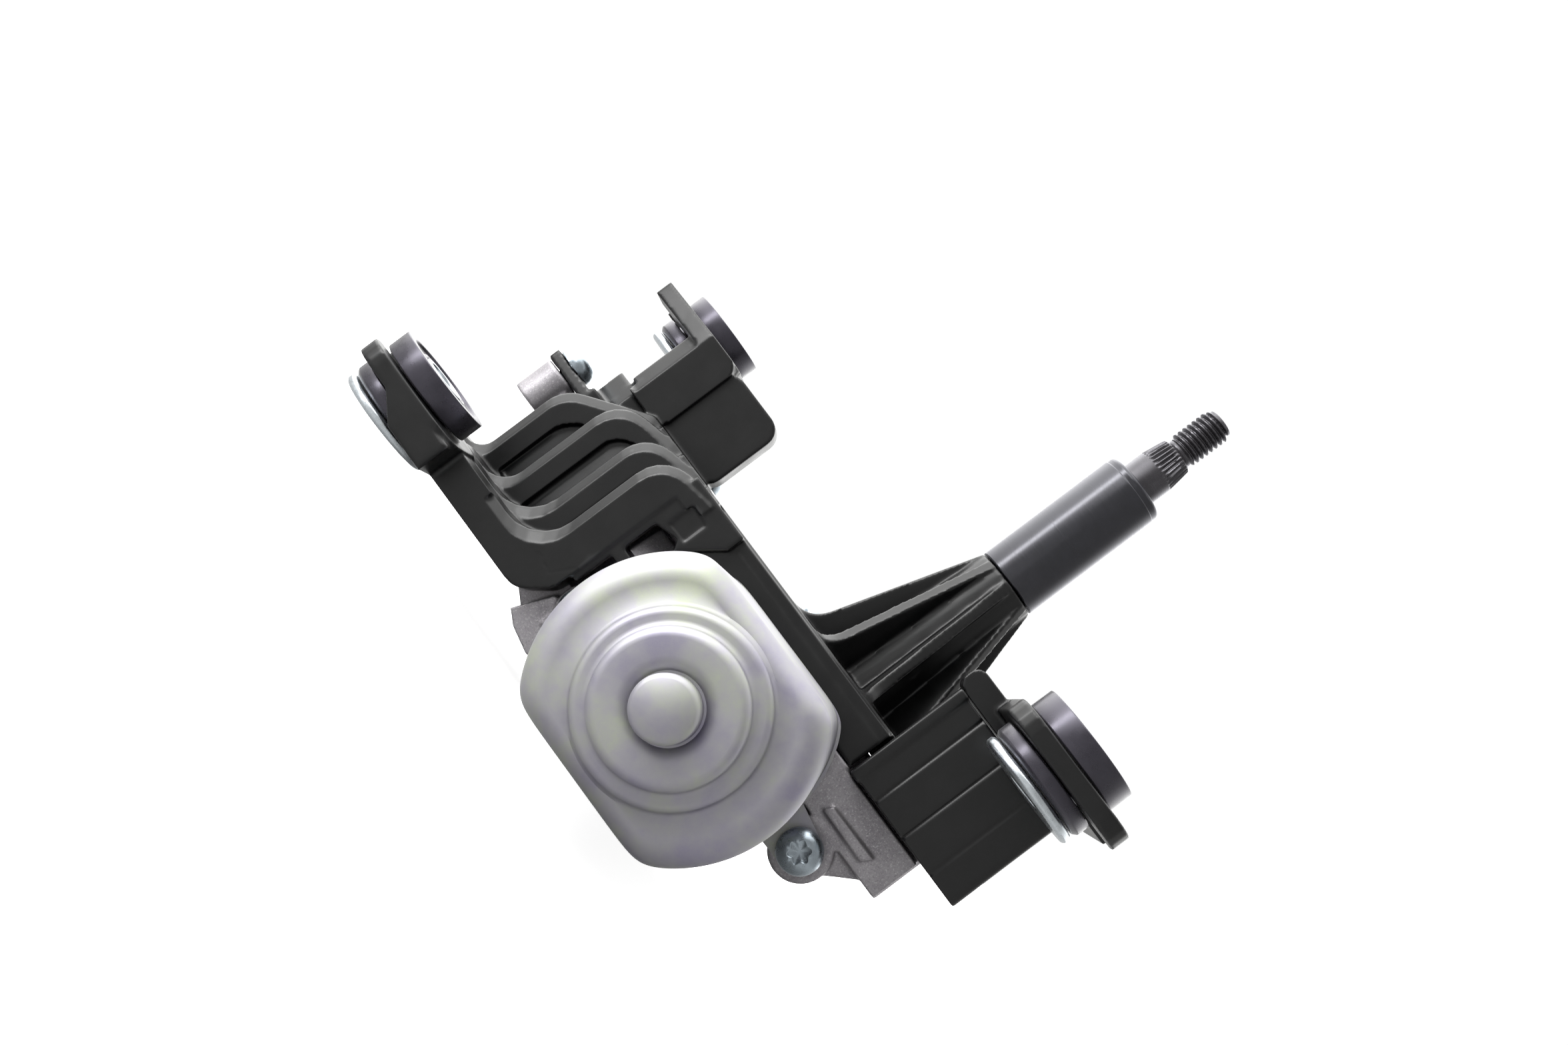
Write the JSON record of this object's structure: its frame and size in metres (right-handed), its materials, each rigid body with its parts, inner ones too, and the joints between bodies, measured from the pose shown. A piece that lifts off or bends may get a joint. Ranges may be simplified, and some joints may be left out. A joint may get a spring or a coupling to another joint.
{
  "type": "rear windshield wiper motor unit",
  "caption": "Tailgate wiper drive: round motor on a gear housing, cover with ribbed cone and spindle tube, threaded spindle, rubber-mounted arms and a connector box.",
  "frame": {"origin": "on the wiper spindle's axis, at the cover's outer face", "axes": "+Z along the spindle, out of the cover towards its threaded end; the motor lies along Y with its closed end towards -Y; the left mounting arm is towards -X"},
  "size_m": [0.167, 0.1625, 0.1476],
  "materials": {
    "acetal": "natural white",
    "black_steel": "black phosphate, turned",
    "board_green": "green solder mask",
    "brass": "bright",
    "bright_steel": "bright zinc plate",
    "carbon": "black carbon",
    "cast_aluminium": "sandy die-cast skin",
    "copper": "bare copper",
    "core_steel": "plain",
    "ferrite": "dark, matte",
    "glass_nylon": "fine grained, glass filled",
    "rubber": "moulded, slight sheen",
    "sinter_bronze": "sintered, oily",
    "zinc_steel": "satin zinc plate"
  },
  "bodies": {
    "housing": {"brush_left": "carbon", "brush_plate": "glass_nylon", "brush_right": "carbon", "brush_spring_left": "core_steel", "brush_spring_right": "core_steel", "bush_lower": "sinter_bronze", "bush_upper": "sinter_bronze", "can_screw_1": "bright_steel", "can_screw_2": "bright_steel", "carrier": "glass_nylon", "choke_left": "ferrite", "choke_right": "ferrite", "circuit_board": "board_green", "connector_housing": "glass_nylon", "connector_lid": "glass_nylon", "connector_pin_1": "brass", "connector_pin_2": "brass", "connector_pin_3": "brass", "connector_pin_4": "brass", "cover_screw_1": "bright_steel", "cover_screw_2": "bright_steel", "cover_screw_3": "bright_steel", "cover_screw_4": "bright_steel", "front_bearing": "core_steel", "gear_housing": "cast_aluminium", "grommet_left": "rubber", "grommet_rear": "rubber", "grommet_right": "rubber", "housing_gasket": "rubber", "lug_screw": "bright_steel", "magnet_left": "ferrite", "magnet_right": "ferrite", "motor_can": "zinc_steel", "rear_bush": "sinter_bronze", "rear_bush_clip": "core_steel", "sleeve_left": "bright_steel", "sleeve_rear": "bright_steel", "sleeve_right": "bright_steel", "spindle_seal": "rubber", "spindle_tube": "black_steel", "wheel_axle": "core_steel", "worm_thrust_pad": "acetal"},
    "armature": {"armature_shaft": "core_steel", "armature_core": "core_steel", "winding_front": "copper", "winding_rear": "copper", "commutator": "copper"},
    "wheel": {"worm_wheel": "acetal", "crank_pin": "core_steel"},
    "link": {"drive_link": "core_steel"},
    "spindle_shaft": {"spindle": "black_steel", "spindle_lever": "core_steel", "lever_pin": "core_steel", "spindle_ring": "core_steel"}
  },
  "joints": [
    {"name": "armature_spin", "type": "hinge", "parent": "housing", "child": "armature", "pos_m": [-0.016, 0, -0.0264], "axis": [0, 1, 0], "range_deg": [0, 5980]},
    {"name": "wheel_turn", "type": "hinge", "parent": "housing", "child": "wheel", "pos_m": [-0.041, 0.0045, -0.0264], "axis": [0, 0, 1], "range_deg": [0, 130]},
    {"name": "link_swing", "type": "hinge", "parent": "wheel", "child": "link", "pos_m": [-0.02922, 0.00999, -0.0189], "axis": [0, 0, 1], "range_deg": [-130, 0]},
    {"name": "spindle_turn", "type": "hinge", "parent": "housing", "child": "spindle_shaft", "pos_m": [0, 0, 0], "axis": [0, 0, 1], "range_deg": [0, 130]}
  ],
  "couplings": [
    {"joint": "wheel_turn", "follows": "armature_spin", "ratio": 0.021739},
    {"joint": "link_swing", "follows": "armature_spin", "ratio": -0.021739},
    {"joint": "spindle_turn", "follows": "armature_spin", "ratio": 0.021739}
  ]
}
